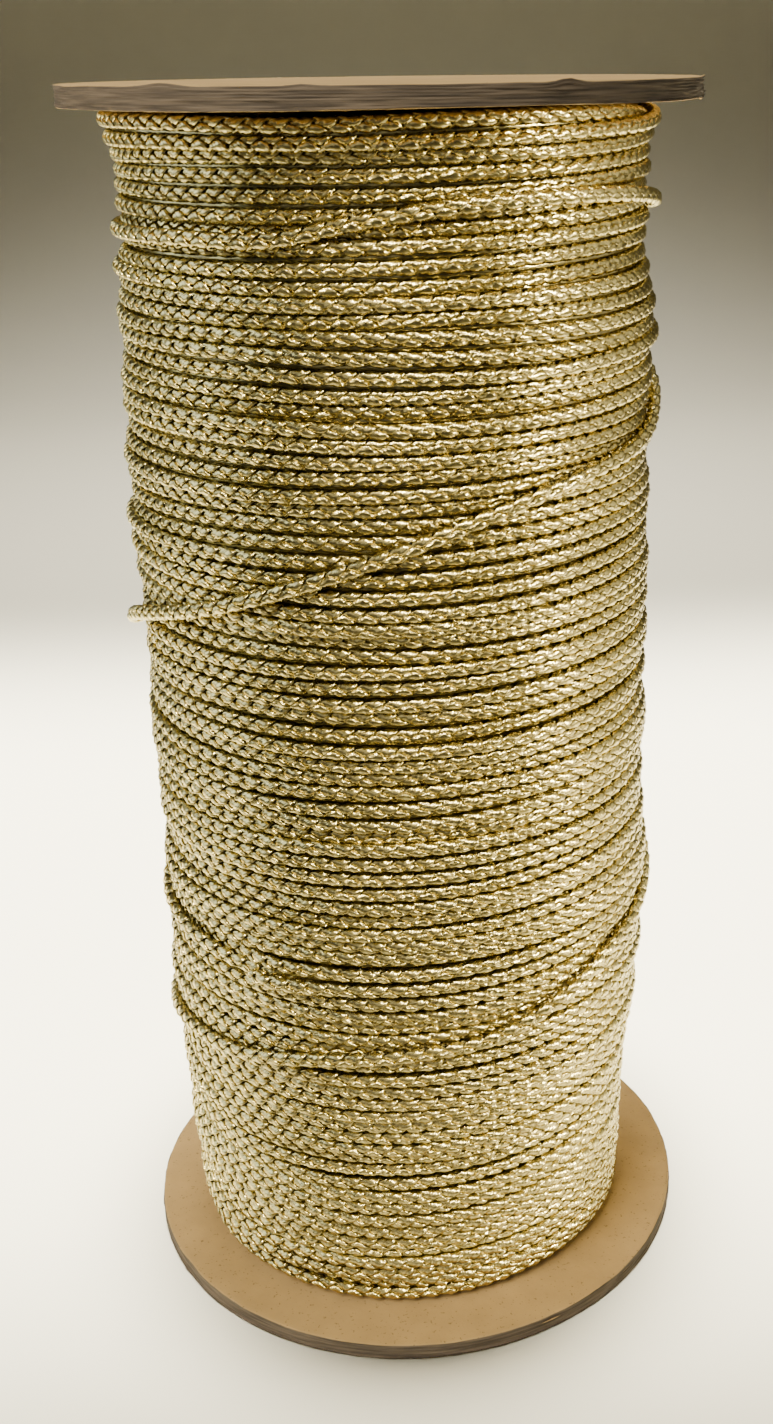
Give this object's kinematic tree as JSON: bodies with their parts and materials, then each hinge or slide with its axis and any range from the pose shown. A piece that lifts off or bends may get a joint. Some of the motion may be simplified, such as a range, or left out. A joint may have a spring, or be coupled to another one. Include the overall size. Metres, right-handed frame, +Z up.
{
  "type": "metallic cord wound on a flanged cardboard spool",
  "caption": "Braided metallic gold cord wound full on a straight spool between round chipboard flanges, with a few loose crossing turns.",
  "frame": {"origin": "centre of the face that the spool stands on, on the spool's own axis", "axes": "+Z up along the spool's axis, -Y towards the viewer of the front, +X to the viewer's right"},
  "size_m": [0.1016, 0.1016, 0.2098],
  "materials": {
    "chipboard": "matte",
    "metallic_cord": "metallic"
  },
  "bodies": {
    "root": {"base_flange": "chipboard", "cord_winding": "metallic_cord", "top_flange": "chipboard"}
  },
  "joints": []
}
